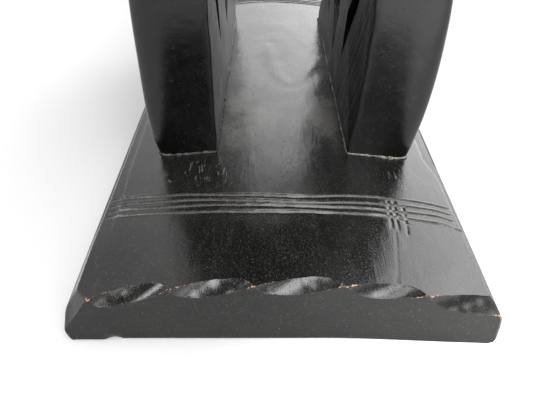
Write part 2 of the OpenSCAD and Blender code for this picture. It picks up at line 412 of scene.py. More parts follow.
def line_path(number, x):
    """Distance from the end to an engraved line at a place across the board."""
    left = (3.6 + 0.37 * number) * (np.maximum(5 - x, 0) / 56) ** (1.5 - 0.1 * number)
    right = (1.0 + 0.55 * number) * smoothstep(6, 40, x)
    drop = (2.3 - 0.5 * number) * smoothstep(53, 62, x)
    waver = 0.28 * np.sin(x / 13.0 + 1.9 * number) + 0.12 * np.sin(x / 4.1 + number)
    return LINE_STARTS[number] + left + right - drop + waver


def groove(distance, width, depth):
    """V groove with a low burr along each lip."""
    cut = np.clip(1 - np.abs(distance) / (width / 2), 0, 1)
    lip = np.exp(-((np.abs(distance) - width * 0.62) / (width * 0.2)) ** 2)
    return -depth * cut ** 0.8 + 0.16 * depth * lip


def carved_lines(x, from_end):
    """Heights that the four engraved lines leave; they die out at both sides of the board."""
    total = np.zeros(len(x))
    for number in range(len(LINE_STARTS)):
        here = np.c_[x, np.full((len(x), 2), number * 9.0)]
        right_end = 60.2 + 1.4 * (number == 0)
        fade = smoothstep(-61.5, -54.0, x) * (1 - smoothstep(right_end - 2, right_end, x))
        strength = 0.62 + 0.14 * noise(here, 11, 5) + 0.07 * noise(here, 2.5, 6)
        width = 1.45 + 0.2 * noise(here, 17, 7)
        total += groove(from_end - line_path(number, x), width, strength) * fade
    return total


def scratch(x, y, path, width, depth):
    """Heights that a V-shaped scratch along a path leaves."""
    return -depth * np.clip(1 - distance_to_path(x, y, path) / (width / 2), 0, 1)


def base_marks(x, from_end):
    """Heights that the hand left on the board's top, near an end."""
    marks = carved_lines(x, from_end)
    for path in CROSS_CUTS:
        marks += scratch(x, from_end, path, 1.0, 0.28)
    return marks + scratch(x, from_end, LONG_SCRATCH, 0.8, 0.12)


def floor_ridge(x, y):
    """Height of the ridge that the gouge left on the channel's floor."""
    away = distance_to_path(x, y, FLOOR_RIDGE)
    return 0.11 * np.exp(-(away / 3) ** 2) - 0.08 * np.exp(-((away - 5) / 3.5) ** 2)


def pare_edges(x, y, z):
    """Pares the board's long edges: a shallow step on the left and a bevel on the right,
    which fade out towards the ends."""
    a = np.abs(y)
    step = -57.4 + 1.2 * smoothstep(90, 115, a)
    fade = 1 - smoothstep(112, 145, a)
    left = z - fade * (0.34 * smoothstep(step + 0.25, step - 0.25, x) + 0.05 * np.maximum(step - x, 0))
    left = left - fade * 0.25 * np.exp(-((x - step) / 0.5) ** 2)
    ridge = 57.5 + 3.0 * smoothstep(78, 96, a) + 2.5 * smoothstep(116, 132, a)
    right = camber_z(ridge) - 0.72 * (x - ridge)
    return np.where(z > 12, np.minimum(left, right), z)


def end_inset(x):
    """How far an end face stands back from the board's full length at x."""
    return 2.3 - 2.2 * smoothstep(12, 68, x) - 0.6 * smoothstep(-46, -52, x)


def end_droop(x):
    """How far the top has been rubbed down beside an end at x."""
    return 0.8 * smoothstep(14, -2, x)


def board_point(params, left_edge, right_edge):
    """x and z in the base board's section, at share u across it and share t up it."""
    u, t = params[:, 0], params[:, 2]
    ridge_left = (RIDGE_LEFT, float(camber_z(RIDGE_LEFT)))
    ridge_right = (RIDGE_RIGHT, float(camber_z(RIDGE_RIGHT)))
    left = curve(left_edge + (ridge_left,), t)
    right = curve(right_edge + (ridge_right,), t)
    top_x = RIDGE_LEFT + u * (RIDGE_RIGHT - RIDGE_LEFT)
    top = np.stack([top_x, camber_z(top_x)], -1)
    straight = np.outer(1 - u, ridge_left) + np.outer(u, ridge_right)
    return ((1 - u)[:, None] * left + u[:, None] * right + t[:, None] * (top - straight))


def make_base():
    us = stations((0, 0.06, 0.0045), (0.06, 0.776, 0.0088), (0.776, 0.876, 0.0042),
                  (0.876, 0.94, 0.0085), (0.94, 1, 0.0045))
    half = stations((0, 0.6, 0.15), (0.6, 35, 1.2), (35, 57, 0.26), (57, END_Y, 1.5))
    ys = np.concatenate([half - END_Y, (END_Y - half[:-1])[::-1]])
    ts = np.append(np.linspace(0, 0.55, 11)[:-1], np.linspace(0.55, 1, 13))
    params, faces = box_grid(us, ys, ts, flat_bottom=True)
    section = board_point(params, LEFT_EDGE, RIGHT_EDGE)
    u, y, t = params.T
    end = np.sign(y)
    from_end = END_Y - np.abs(y)
    inset = 0.55 - np.sqrt(np.maximum(0.55 ** 2 - np.maximum(0.55 - from_end, 0) ** 2, 0))
    x = section[:, 0] - inset * (2 * u - 1)
    z = section[:, 1] - inset * (2 * t - 1)
    y = y - end * end_inset(x) * (1 - smoothstep(0, 14, from_end))
    skin = t ** 2
    z = pare_edges(x, y, z) - skin * end_droop(x) * (1 - smoothstep(0, 35, from_end))
    points = np.stack([x, y, z], -1)
    z = z + skin * (0.22 * noise(points, (34, 60, 40), 11) - 0.22)
    z = z + skin * 0.05 * noise(points, (7, 14, 20), 12)
    top = smoothstep(8, 12, z) * (from_end > 0.6)
    z = z + (base_marks(x * -end, END_Y - np.abs(y)) + floor_ridge(x, y)) * top
    x = x + skin * 0.15 * noise(points, (50, 26, 12), 13) * (np.abs(x) < 62)
    chip = np.maximum(1 - ((x - CHIP_X) / 2.6) ** 2, 0) * np.maximum(1 - z / 2.2, 0)
    y = y - end * CHIP_DEPTH * chip * (from_end < 0.6)
    x = np.clip(x, BASE_LOW[0], BASE_HIGH[0])
    points = bevel_corners(np.stack([x, y, z], -1))
    obj = make_object("base_board", points, faces, cut=np.zeros(len(points)))
    cut_gouges(obj, GOUGE_NODES, base_arris, (2.8, 2.6, 2.6, 2.5, 2.1), 31)
    knot = cylinder_part(KNOT_X, KNOT_FROM_END - END_Y, KNOT_FLOOR_Z, CROWN_Z, KNOT_RADIUS)
    cut_away(obj, join_parts("knot_hole", [knot]))
    for node in ("left_base_pegs", "right_base_pegs"):
        cut_bores(obj, node)
    points = read_points(obj)
    x, y, z = points.T
    end_face = smoothstep(0.5, 0.1, END_Y - np.abs(y) - end_inset(x))
    write_values(obj, "end", end_face * (1 - read_values(obj, "cut")))
    rubbed = np.exp(-((x + 30) / 15) ** 2 - ((y + 100) / 8) ** 2)
    write_values(obj, "rub", rubbed + 0.5 * np.exp(-((x - 44) / 9) ** 2 - ((y + 100) / 16) ** 2))
    marks = base_marks(x * -np.sign(y), END_Y - np.abs(y)) * (z > 12)
    write_values(obj, "film", smoothstep(100, 62, np.abs(y)) * smoothstep(28, 20, np.abs(x - 1)))
    write_values(obj, "line", smoothstep(-0.05, -0.3, marks))
    write_values(obj, "dull", smoothstep(-61.5, -63.5, x) + 0.6 * smoothstep(60, 63, x))
    return obj


def bevel_corners(points):
    """Pares the board's two left corners with an oblique facet, and its right ones a little."""
    left = ((-56.2, 1.8, 16.3), (-63.7, 1.8, 5.2), (-63.4, 8.0, 11.2))
    right = ((63.6, 0.0, 11.0), (63.2, 0.0, 0.5), (65.2, 1.8, 6.0))
    for corner in (left, right):
        for end in (-1, 1):
            p, q, s = (np.array([k[0], end * (END_Y - k[1]), k[2]]) for k in corner)
            normal = np.cross(q - p, s - p)
            normal /= np.linalg.norm(normal)
            if normal[1] * end < 0:
                normal = -normal
            over = np.maximum((points - p) @ normal, 0)
            near = np.abs(points[:, 1]) > END_Y - 14
            points = points - np.outer(over * near, normal)
    return points


def base_arris(x, end):
    """Point on the arris of an end of the base board, with the two normals there."""
    z = camber_z(min(x, RIDGE_RIGHT)) - 1.25 * max(x - RIDGE_RIGHT, 0) - end_droop(x)
    slope = math.asin((x - CROWN_X) / CAMBER_R)
    top = np.array([math.sin(slope), 0, math.cos(slope)])
    return np.array([x, end * (END_Y - end_inset(x) - 0.1), z]), top, np.array([0.0, end, 0.0])


# ---------- uprights ----------

def left_faces(y, z):
    """x of the left upright's inner and outer face at a place along it and a height."""
    foot = 3.1 * (np.maximum(WIDEST_Z - z, 0) / SWELL_HALF) ** 5
    head = bulge(np.maximum(z, WIDEST_Z), WIDEST_Z, SWELL_HALF, 2.5)
    return np.full(np.shape(z), LEFT_HIGH[0]), LEFT_LOW[0] + foot + head


def right_faces(y, z):
    """x of the right upright's inner and outer face: the inner one flares near the ends."""
    rise = np.minimum(z, 75)
    flare = np.maximum(0.104 * (np.abs(y) - 63.6) + 0.121 * (rise - 43.4), 0)
    inner = RIGHT_HIGH[0] - 30 - bulge(z, WIDEST_Z, SWELL_HALF, 2)
    foot = 6.1 * (np.maximum(WIDEST_Z - z, 0) / SWELL_HALF) ** 2.4
    head = bulge(np.maximum(z, WIDEST_Z), WIDEST_Z, SWELL_HALF, 6)
    return inner + 3.2 * (1 - np.exp(-flare / 3.2)), RIGHT_HIGH[0] - foot - head


def end_reach(z):
    """How far out an upright's end face stands at height z: it leans most at half height."""
    rise = z - CROWN_Z
    wave = END_WAVE_SHARE * END_LEAN * END_WAVE_L / (2 * math.pi)
    return FOOT_HALF_L + rise * END_LEAN - wave * np.sin(2 * math.pi * rise / END_WAVE_L)


def upright_section(faces_at, side, u, v, z):
    """x and y at share u of an upright's thickness and share v of half its length, at height z.
    The end faces lean out, and their outer edges are pared back."""
    y = v * FOOT_HALF_L
    for _ in range(3):
        inner, outer = faces_at(y, z)
        thick = np.abs(outer - inner)
        half_l = end_reach(z)
        low = np.stack([np.zeros(len(z)), -half_l], -1)
        high = np.stack([thick, half_l], -1)
        flat = rounded(np.stack([u * thick, v * half_l], -1), low, high, UPRIGHT_CORNER_R)
        x = inner + side * flat[:, 0]
        pared = END_SKEW * thick * (flat[:, 0] / thick) ** END_PARE_POWER
        y = flat[:, 1] * (1 - pared / half_l)
    return x, y


def leaf_part(y, z, length, width, lean, x_low, x_high, seed):
    """Closed cutter for a pointed slot through an upright, upwards from its lower tip at (y, z).
    It widens a little towards both faces."""
    half = length / 2
    r = arc_radius(half, width / 2)
    along = np.linspace(-half, half, 35)
    reach = np.sqrt(r * r - along ** 2) - (r - width / 2)
    outline = np.concatenate([np.stack([reach, along], -1),
                              np.stack([-reach, along], -1)[-2:0:-1]])
    xs = np.linspace(x_low, x_high, 25)
    middle = (x_low + x_high) / 2
    rings = []
    for x in xs:
        flare = 1 + 0.10 * (abs(x - middle) / (x_high - middle)) ** 3
        ring = outline * (flare, 1 + (flare - 1) * 0.3)
        place = np.c_[np.full(len(ring), x), ring]
        ring = ring + 0.22 * np.stack([noise(place, 6, seed), noise(place, 8, seed + 1)], -1)
        side, up = ring[:, 0], ring[:, 1] + half
        rings.append(np.stack([np.full(len(ring), x),
                               y + side * math.cos(lean) + up * math.sin(lean),
                               z + up * math.cos(lean) - side * math.sin(lean)], -1))
    count = len(outline)
    index = np.arange(len(xs) * count).reshape(len(xs), count)
    faces = []
    for i in range(len(xs) - 1):
        for j in range(count):
            k = (j + 1) % count
            faces.append([index[i, j], index[i, k], index[i + 1, k], index[i + 1, j]])
    faces += [index[0, ::-1].tolist(), index[-1].tolist()]
    return np.vstack(rings), faces, 0.6


def make_upright(name, faces_at, side, seed, slot_shift):
    us = np.concatenate([np.array([0, 0.012, 0.03, 0.05]), np.linspace(0.08, 0.92, 18),
                         np.array([0.95, 0.97, 0.988, 1])])
    vs = stations((-1, -0.97, 0.006), (-0.97, 0.97, 0.0115), (0.97, 1, 0.006))
    ts = np.linspace(0, 1, 116)
    params, faces = box_grid(us, vs, ts)
    u, v, t = params.T
    z = CROWN_Z + t * 100
    for _ in range(5):
        x, y = upright_section(faces_at, side, u, v, z)
        foot, head = camber_z(x) - 0.5, underside_z(y) + 0.4
        z = foot + t * (head - foot)
    points = np.stack([x, y, z], -1)
    inner_side = 1 - smoothstep(0, 0.12, u)
    outer_side = smoothstep(0.88, 1, u)
    hewn = 0.26 * noise(points, (30, 15, 9), seed) + 0.10 * noise(points, (30, 5, 22), seed + 1)
    smooth = 0.22 * noise(points, (40, 46, 34), seed + 2) - 0.2
    x = x + side * (outer_side * smooth - inner_side * hewn)
    ends = smoothstep(0.93, 1, np.abs(v))
    y = y + np.sign(v) * ends * (0.25 * noise(points, (26, 40, 30), seed + 3) - 0.2)
    points = np.stack([x, y, z], -1)
    obj = make_object(name, points, faces, cut=np.zeros(len(points)))
    inner, outer = faces_at(FOOT_HALF_L, np.array([WIDEST_Z]))
    x_low, x_high = sorted((inner[0] - side * 10, outer[0] + side * 7))
    slots = [leaf_part(0, MIDDLE_TIP_Z + slot_shift, SLOT_LENGTH, MIDDLE_SLOT_W, 0,
                       x_low, x_high, seed + 9)]
    for way in (-1, 1):
        tip_y = way * (SIDE_TIP_Y + slot_shift * math.sin(SLOT_LEAN))
        tip_z = SIDE_TIP_Z + slot_shift * math.cos(SLOT_LEAN)
        slots.append(leaf_part(tip_y, tip_z, SLOT_LENGTH, SIDE_SLOT_W, way * SLOT_LEAN,
                               x_low, x_high, seed + 11 + way))
    cut_away(obj, join_parts("slots", slots))
    x, y, z = read_points(obj).T
    inner, _ = faces_at(y, z)
    hewn_face = smoothstep(1.2, 0.5, side * (x - inner))
    write_values(obj, "cut", np.maximum(read_values(obj, "cut"), 0.4 * hewn_face))
    write_values(obj, "dull", smoothstep(3, 0.8, side * (x - inner)) * (0.8 + 0.2 * side))
    return obj


# ---------- neck rest ----------

def rest_arris(x, end):
    """Point on the arris of an end of the neck rest, with the two normals there."""
    angle = end * REST_ANGLE
    r = REST_R - REST_T + 0.15
    top = np.array([0, -math.sin(angle), math.cos(angle)])
    out = np.array([0, end * math.cos(angle), end * math.sin(angle)])
    return np.array([x, r * math.sin(angle), REST_CENTRE_Z - r * math.cos(angle)]), top, out


def make_neck_rest():
    half_s = REST_ANGLE * REST_R
    us = stations((-1, -0.9, 0.02), (-0.9, 0.9, 0.0135), (0.9, 1, 0.02))
    half = stations((0, 0.6, 0.2), (0.6, 15, 1.1), (15, 36, 0.28), (36, half_s, 1.7))
    ss = np.concatenate([half - half_s, (half_s - half[:-1])[::-1]])
    ts = np.linspace(0, 1, 13)
    params, faces = box_grid(us, ss, ts)
    u, s, t = params.T
    low = np.tile([-REST_HALF_W, 0.0], (len(u), 1))
    high = np.tile([REST_HALF_W, REST_T], (len(u), 1))
    flat = rounded(np.stack([u * REST_HALF_W, t * REST_T], -1), low, high, 5.0)
    x, h = flat.T
    from_end = half_s - np.abs(s)
    inset = 0.6 - np.sqrt(np.maximum(0.6 ** 2 - np.maximum(0.6 - from_end, 0) ** 2, 0))
    x = x - inset * u
    h = h - inset * (2 * t - 1)
    points = np.stack([x, s, h * 3], -1)
    top_side, low_side = smoothstep(0.6, 1, t), 1 - smoothstep(0, 0.4, t)
    dish = 0.9 * (1 - (x / REST_HALF_W) ** 2) * smoothstep(0, 40, from_end)
    h = h - top_side * (dish + 0.15 * (1 + noise(points, (34, 50, 40), 71)))
    h = h + low_side * (0.22 * noise(points, (24, 16, 40), 72) + 0.25)
    scale = (REST_R - REST_T) / REST_R
    across = np.zeros(len(x))
    for number in range(REST_LINES):
        here = np.c_[x, np.full((len(x), 2), number * 9.0 + 40)]
        path = REST_LINE_START + REST_LINE_GAP * number + 0.22 * np.sin(x / 12 + 2 * number)
        fade = 1 - smoothstep(REST_HALF_W - 7, REST_HALF_W - 3.5, np.abs(x))
        depth = 0.6 + 0.12 * noise(here, 12, 73)
        across += groove(from_end * scale - path, 1.4, depth) * fade
    h = h + across * top_side
    angle = s / REST_R
    r = REST_R - h
    points = np.stack([x, r * np.sin(angle), REST_CENTRE_Z - r * np.cos(angle)], -1)
    obj = make_object("neck_rest_saddle", points, faces, cut=np.zeros(len(points)))
    cut_gouges(obj, REST_GOUGE_NODES, rest_arris, (2.3, 2.2, 2.4), 51)
    for node in ("left_top_pegs", "right_top_pegs"):
        cut_bores(obj, node)
    return obj


# ---------- glue beads ----------

def make_bead(name, faces_at, side, height_at, lift, seed, lump):
    """Irregular bead of glue around an upright's foot or head, with one bigger lump.
    height_at(x, y) is the surface that it lies on, and lift points away from that surface."""
    long_side = np.linspace(-1, 1, 400)
    short_side = np.linspace(0, 1, 64)
    loop = ([(0, v) for v in long_side[:-1]] + [(u, 1) for u in short_side[:-1]]
            + [(1, v) for v in long_side[:0:-1]] + [(u, -1) for u in short_side[:0:-1]])
    u, v = np.array(loop, float).T
    z = np.full(len(u), CROWN_Z if lift > 0 else REST_Z)
    for _ in range(5):
        x, y = upright_section(faces_at, side, u, v, z)
        z = height_at(x, y)
    along = np.stack([np.roll(x, -1) - np.roll(x, 1), np.roll(y, -1) - np.roll(y, 1)], -1)
    along /= np.maximum(np.linalg.norm(along, axis=1), 1e-6)[:, None]
    out_x, out_y = -side * along[:, 1], side * along[:, 0]
    place = np.stack([x, y, z], -1)
    size = 0.5 + 0.3 * noise(place, 5, seed) + 0.24 * noise(place, 1.5, seed + 1)
    size = size + 0.9 * np.exp(-((x - lump[0]) ** 2 + (y - lump[1]) ** 2) / 1.5)
    size = np.maximum(size, 0.16)
    turns = np.linspace(0, 2 * math.pi, 13)[:-1]
    rings = []
    for turn in turns:
        shape = 1 + 0.3 * noise(place + 31 * turn, 0.9, seed + 2)
        away = -0.15 + size * shape * math.cos(turn)
        up = 0.1 + 1.15 * size * shape * math.sin(turn)
        rings.append(np.stack([x + out_x * away, y + out_y * away, z + lift * up], -1))
    grid = np.stack(rings, 1)
    rows, cols = grid.shape[:2]
    index = np.arange(rows * cols).reshape(rows, cols)
    faces = []
    for i in range(rows):
        for j in range(cols):
            a, b = (i + 1) % rows, (j + 1) % cols
            faces.append([index[i, j], index[a, j], index[a, b], index[i, b]])
    return make_object(name, grid.reshape(-1, 3), faces)


# ---------- materials ----------

class Material:
    """A node material, with short calls that add a node and return one of its outputs."""

    def __init__(self, name):
        self.material = bpy.data.materials.new(name)
        self.material.use_nodes = True
        self.tree = self.material.node_tree
        self.shader = self.tree.nodes["Principled BSDF"]
        self.place = self.add("ShaderNodeTexCoord").node.outputs["Object"]

    def connect(self, socket, value):
        if isinstance(value, bpy.types.NodeSocket):
            self.tree.links.new(value, socket)
        else:
            socket.default_value = value

    def add(self, kind, inputs=(), output=0, **settings):
        node = self.tree.nodes.new(kind)
        for key, value in settings.items():
            setattr(node, key, value)
        for key, value in dict(inputs).items():
            self.connect(node.inputs[key], value)
        return node.outputs[output]

    def noise(self, scale, stretch=(1, 1, 1), detail=3.0, rough=0.55, bend=0.0, shift=0.0):
        """Noise with its scale per metre, drawn out along an axis where stretch is small."""
        vector = self.add("ShaderNodeMapping", {
            "Vector": self.place, "Scale": stretch, "Location": (shift, shift * 0.7, shift * 1.3)})
        return self.add("ShaderNodeTexNoise", {
            "Vector": vector, "Scale": scale, "Detail": detail, "Roughness": rough,
            "Distortion": bend})

    def stripes(self, across, scale, detail=2.0):
        """Parallel streaks of uneven width, which vary along the direction across."""
        along = self.add("ShaderNodeVectorMath", {0: self.place, 1: across}, output=1,
                         operation="DOT_PRODUCT")
        return self.add("ShaderNodeTexNoise", {"W": along, "Scale": scale, "Detail": detail},
                        noise_dimensions="1D")

    def span(self, value, low, high, to_low=0.0, to_high=1.0):
        return self.add("ShaderNodeMapRange", {
            "Value": value, "From Min": low, "From Max": high,
            "To Min": to_low, "To Max": to_high}, interpolation_type="SMOOTHSTEP")

    def maths(self, operation, a, b=0.0, clamp=False):
        return self.add("ShaderNodeMath", {0: a, 1: b}, operation=operation, use_clamp=clamp)

    def mix(self, share, a, b):
        """Colour a, with a share of colour b."""
        node = self.tree.nodes.new("ShaderNodeMix")
        node.data_type = "RGBA"
        self.connect(node.inputs[0], share)
        for socket, colour in ((node.inputs[6], a), (node.inputs[7], b)):
            self.connect(socket, colour if isinstance(colour, bpy.types.NodeSocket) else (*colour, 1))
        return node.outputs[2]

    def attribute(self, name):
        node = self.tree.nodes.new("ShaderNodeAttribute")
        node.attribute_name = name
        return node.outputs["Fac"]

    def bump(self, height, distance, normal=None):
        inputs = {"Height": height, "Distance": distance, "Strength": 1.0}
        if normal is not None:
            inputs["Normal"] = normal
        return self.add("ShaderNodeBump", inputs)

    def set(self, **values):
        for key, value in values.items():
            self.connect(self.shader.inputs[key.replace("_", " ")], value)


WOOD_IOR = 1.43
STREAK_SHARE = 0.5
BLACK = (0.0042, 0.0043, 0.0040)
SOOT = (0.0085, 0.0084, 0.0078)
RUBBED_BLACK = (0.019, 0.0185, 0.0172)
WORN_BROWN = (0.17, 0.080, 0.042)
PALE_WOOD = (0.40, 0.28, 0.21)
DUST = (0.26, 0.25, 0.23)
# Painted highlight: lighter grey painted into the engraved lines, for their lit lips
LINE_HIGHLIGHT_GREY = (0.075, 0.073, 0.068)
FILM_GREY = (0.105, 0.102, 0.096)
DOT_GREY = (0.085, 0.083, 0.078)
PORE_BLACK = (0.0022, 0.0022, 0.0020)
GLUE_STAINED = (0.012, 0.011, 0.010)
GLUE_BARE = (0.075, 0.070, 0.062)
GLUE_PALE = (0.26, 0.245, 0.22)
GLUE_DIRT = (0.03, 0.026, 0.022)
PEG_PALE = (0.46, 0.30, 0.16)
PEG_DARK = (0.26, 0.15, 0.07)


def stained_wood(name, gloss=0.20, dust=0.5, shift=0.0, tone=1.0):
    """Black-stained, rubbed wood whose grain runs along Y. It takes these values from the mesh:
    wear on arrises, cut in gouge cuts, slots and hewn faces, end on end grain, rub where it has
    been scuffed, film where dust lies, line in engraved lines and dull where there is no polish.
    A value that a mesh doesn't hold counts as 0."""
    m = Material(name)
    wear = m.attribute("wear")
    cut = m.attribute("cut")
    end = m.attribute("end")
    rub = m.attribute("rub")

    pores = m.noise(2300, (1, 0.22, 1), detail=2, rough=0.55, bend=0.1, shift=shift)
    pore_field = m.noise(55, (1, 0.4, 1), detail=3, shift=shift + 3)
    pore = m.maths("MULTIPLY", m.span(pores, 0.61, 0.69), m.span(pore_field, 0.44, 0.66))
    fibres = m.noise(2600, (1, 0.03, 1), detail=3, rough=0.6, shift=shift + 1)
    streak = m.noise(560, (1, 0.07, 1), detail=4, rough=0.65, bend=0.4, shift=shift + 2)
    cloud = m.noise(42, (1, 0.7, 1), detail=5, rough=0.62, shift=shift + 5)
    swell = m.noise(120, (1, 0.5, 1), detail=2, rough=0.5, shift=shift + 7)
    rubs = m.noise(2000, (0.04, 1, 1), detail=3, rough=0.65, shift=shift + 9)
    speck = m.add("ShaderNodeTexVoronoi", {"Vector": m.place, "Scale": 1050.0})
    dot = m.add("ShaderNodeTexVoronoi", {"Vector": m.place, "Scale": 1700.0})
    dot_field = m.noise(900, detail=2, rough=0.6, shift=shift + 19)
    dots = m.maths("MULTIPLY", m.span(dot, 0.30, 0.12), m.span(dot_field, 0.46, 0.62))
    grain = m.noise(2700, (1, 0.5, 1), detail=2, rough=0.7, shift=shift + 21)
    speck_pick = m.noise(420, detail=1, shift=shift + 11)
    speck_mask = m.maths("MULTIPLY", m.span(speck, 0.17, 0.08), m.span(speck_pick, 0.63, 0.70))
    scuffs = m.noise(1100, (1, 0.16, 1), detail=2, rough=0.5, bend=0.6, shift=shift + 15)
    scuff = m.maths("MULTIPLY", m.span(scuffs, 0.60, 0.70), rub)
    chatter = m.stripes((0.907, -0.30, -0.30), 900, 3.0)

    # tone darkens the blacks; the uprights' copies at 0.3 and 0.35 are painted shade for their darker
    # faces
    black, soot, rubbed_black = (tuple(tone * c for c in k) for k in (BLACK, SOOT, RUBBED_BLACK))
    colour = m.mix(m.span(cloud, 0.40, 0.72), black, soot)
    colour = m.mix(m.maths("MULTIPLY", m.span(streak, 0.54, 0.74), STREAK_SHARE), colour, rubbed_black)
    lit = m.maths("MAXIMUM", m.span(grain, 0.52, 0.74), m.maths("MULTIPLY", m.span(rubs, 0.55, 0.75), end))
    colour = m.mix(m.maths("MULTIPLY", lit, 0.6), colour, rubbed_black)
    film = m.maths("MULTIPLY", m.attribute("film"), m.span(cloud, 0.40, 0.62))
    colour = m.mix(m.maths("MULTIPLY", film, 0.8), colour, FILM_GREY)
    colour = m.mix(m.maths("MULTIPLY", pore, 0.85), colour, PORE_BLACK)
    breakup = m.noise(700, detail=4, rough=0.7, shift=shift + 13)
    worn = m.maths("MULTIPLY", wear, m.span(breakup, 0.34, 0.66))
    colour = m.mix(m.span(worn, 0.25, 0.80), colour, WORN_BROWN)
    colour = m.mix(m.span(worn, 0.60, 0.95), colour, PALE_WOOD)
    colour = m.mix(m.maths("MULTIPLY", speck_mask, dust), colour, DUST)
    colour = m.mix(m.maths("MULTIPLY", scuff, 0.35), colour, DUST)
    # Engraved lines painted lighter, mottled by grain: a painted highlight for the lips of the grooves
    # catching the light
    line_highlight = m.maths("MULTIPLY", m.attribute("line"), m.span(grain, 0.35, 0.6, 0.35, 1.0))
    colour = m.mix(line_highlight, colour, LINE_HIGHLIGHT_GREY)
    colour = m.mix(m.maths("MULTIPLY", dots, dust), colour, DOT_GREY)

    rough = m.span(cloud, 0.30, 0.70, gloss * 0.8, gloss * 1.3)
    rough = m.maths("ADD", rough, m.maths("MULTIPLY", m.span(streak, 0.5, 0.8), 0.08))
    rough = m.maths("ADD", rough, m.maths("MULTIPLY", pore, 0.30))
    rough = m.maths("ADD", rough, m.maths("MULTIPLY", m.span(worn, 0.2, 0.9), 0.25))
    rough = m.maths("ADD", rough, m.maths("MULTIPLY", end, 0.14))
    rough = m.maths("ADD", rough, m.maths("MULTIPLY", m.attribute("dull"), 0.25))
    rough = m.maths("ADD", rough, m.maths("MULTIPLY", cut, 0.10))
    rough = m.maths("ADD", rough, m.maths("MULTIPLY", m.span(grain, 0.50, 0.70), 0.27 * dust))
    rough = m.maths("ADD", rough, m.maths("MULTIPLY", speck_mask, 0.4), clamp=True)

    normal = m.bump(swell, 0.00020)
    normal = m.bump(m.maths("MULTIPLY", chatter, cut), 0.0007, normal)
    coarse = m.maths("ADD", m.maths("MULTIPLY", cut, 1.5), 1.0)
    normal = m.bump(m.maths("MULTIPLY", grain, coarse), 0.00003, normal)
    normal = m.bump(streak, 0.000045, normal)
    normal = m.bump(fibres, 0.000018, normal)
    normal = m.bump(m.maths("MULTIPLY", rubs, m.span(end, 0.0, 1.0, 1.0, 4.0)), 0.000012, normal)
    grit = m.maths("ADD", m.maths("MULTIPLY", speck_mask, 0.6), m.maths("MULTIPLY", scuff, 0.5))
    normal = m.bump(m.maths("SUBTRACT", grit, m.maths("MULTIPLY", pore, 0.15)), 0.00007, normal)

    m.set(Base_Color=colour, Roughness=rough, Normal=normal, IOR=WOOD_IOR)
    return m.material


def glue_material(name, pale):
    """Dried, dusty glue; the nearer pale is to 1, the more of it has lost its stain."""
    m = Material(name)
    lumps = m.noise(1100, detail=4, rough=0.7)
    patches = m.noise(330, detail=3, rough=0.6, shift=4)
    fine = m.noise(3200, detail=3, rough=0.7, shift=2)
    edge = 0.70 - 0.4 * pale
    colour = m.mix(m.span(patches, edge - 0.12, edge + 0.12), GLUE_STAINED, GLUE_BARE)
    colour = m.mix(m.span(lumps, edge + 0.04, edge + 0.18), colour, GLUE_PALE)
    colour = m.mix(m.span(fine, 0.62, 0.75), colour, GLUE_DIRT)
    normal = m.bump(lumps, 0.0003)
    normal = m.bump(fine, 0.00012, normal)
    m.set(Base_Color=colour, Roughness=m.span(patches, 0.3, 0.7, 0.35, 0.65), Normal=normal)
    return m.material


def peg_material():
    m = Material("bare_peg")
    grain = m.noise(900, (1, 1, 0.05), detail=4, rough=0.6)
    fine = m.noise(3000, (1, 1, 0.03), detail=3, rough=0.6, shift=3)
    colour = m.mix(m.span(grain, 0.35, 0.7), PEG_PALE, PEG_DARK)
    m.set(Base_Color=colour, Roughness=m.span(fine, 0.3, 0.7, 0.5, 0.75),
          Normal=m.bump(fine, 0.00008, m.bump(grain, 0.0001)))
    return m.material


# ---------- the camera, the floor and the light ----------

# The camera: place in metres (CAMERA_GAP: millimetres before the front end), tilt in degrees down
CAMERA_X = -0.0035
CAMERA_GAP = 133.6
CAMERA_Z = 0.1387
CAMERA_TILT = 33.32
CAMERA_LENS = 42.0

# How brightly the world shines from each side
WORLD_LEFT = 0.7
WORLD_RIGHT = 3.1
WORLD_FRONT = 0.28
WORLD_BEHIND = 1.3

FLOOR_GREY = (0.42, 0.42, 0.42)
FLOOR_FILL = 0.14
FLOOR_GLOW = 1.4


def make_camera():
    data = bpy.data.cameras.new("camera")
    data.lens = CAMERA_LENS
    data.sensor_width = 36.0
    data.clip_start = 0.01
    camera = bpy.data.objects.new("camera", data)
    camera.location = (CAMERA_X, -(END_Y + CAMERA_GAP) * MM, CAMERA_Z)
    camera.rotation_euler = (math.radians(90 - CAMERA_TILT), 0, 0)
    bpy.context.scene.collection.objects.link(camera)
    bpy.context.scene.camera = camera


def make_floor():
    """Wide pale floor that glows faintly, and eleven times as much in a patch in front of
    the board's right half, so that the front face is lighter there, as in the photograph."""
    size, count = 3000.0, 40
    ticks = np.linspace(-size, size, count)
    x, y = np.meshgrid(ticks, ticks, indexing="ij")
    points = np.stack([x.ravel(), y.ravel(), np.zeros(x.size)], -1)
    index = np.arange(count * count).reshape(count, count)
    faces = [[index[i, j], index[i + 1, j], index[i + 1, j + 1], index[i, j + 1]]
             for i in range(count - 1) for j in range(count - 1)]
    floor = make_object("floor", points, faces)
    m = Material("floor_paper")
    across = m.add("ShaderNodeSeparateXYZ", {0: m.place})
    along = across.node.outputs["Y"]
    glow = m.maths("MULTIPLY", m.span(across, -0.03, 0.09), m.span(along, -0.13, -0.18))
    glow = m.maths("MULTIPLY", glow, m.span(across, 0.45, 0.15))
    glow = m.maths("MULTIPLY", glow, m.span(along, -0.50, -0.20))
    m.set(Base_Color=(*FLOOR_GREY, 1), Roughness=0.9, Emission_Color=(1, 1, 1, 1),
          Emission_Strength=m.maths("ADD", m.maths("MULTIPLY", glow, FLOOR_GLOW), FLOOR_FILL))
    m.set(Normal=m.bump(m.noise(900, detail=2), 0.00002))
    floor.data.materials.append(m.material)


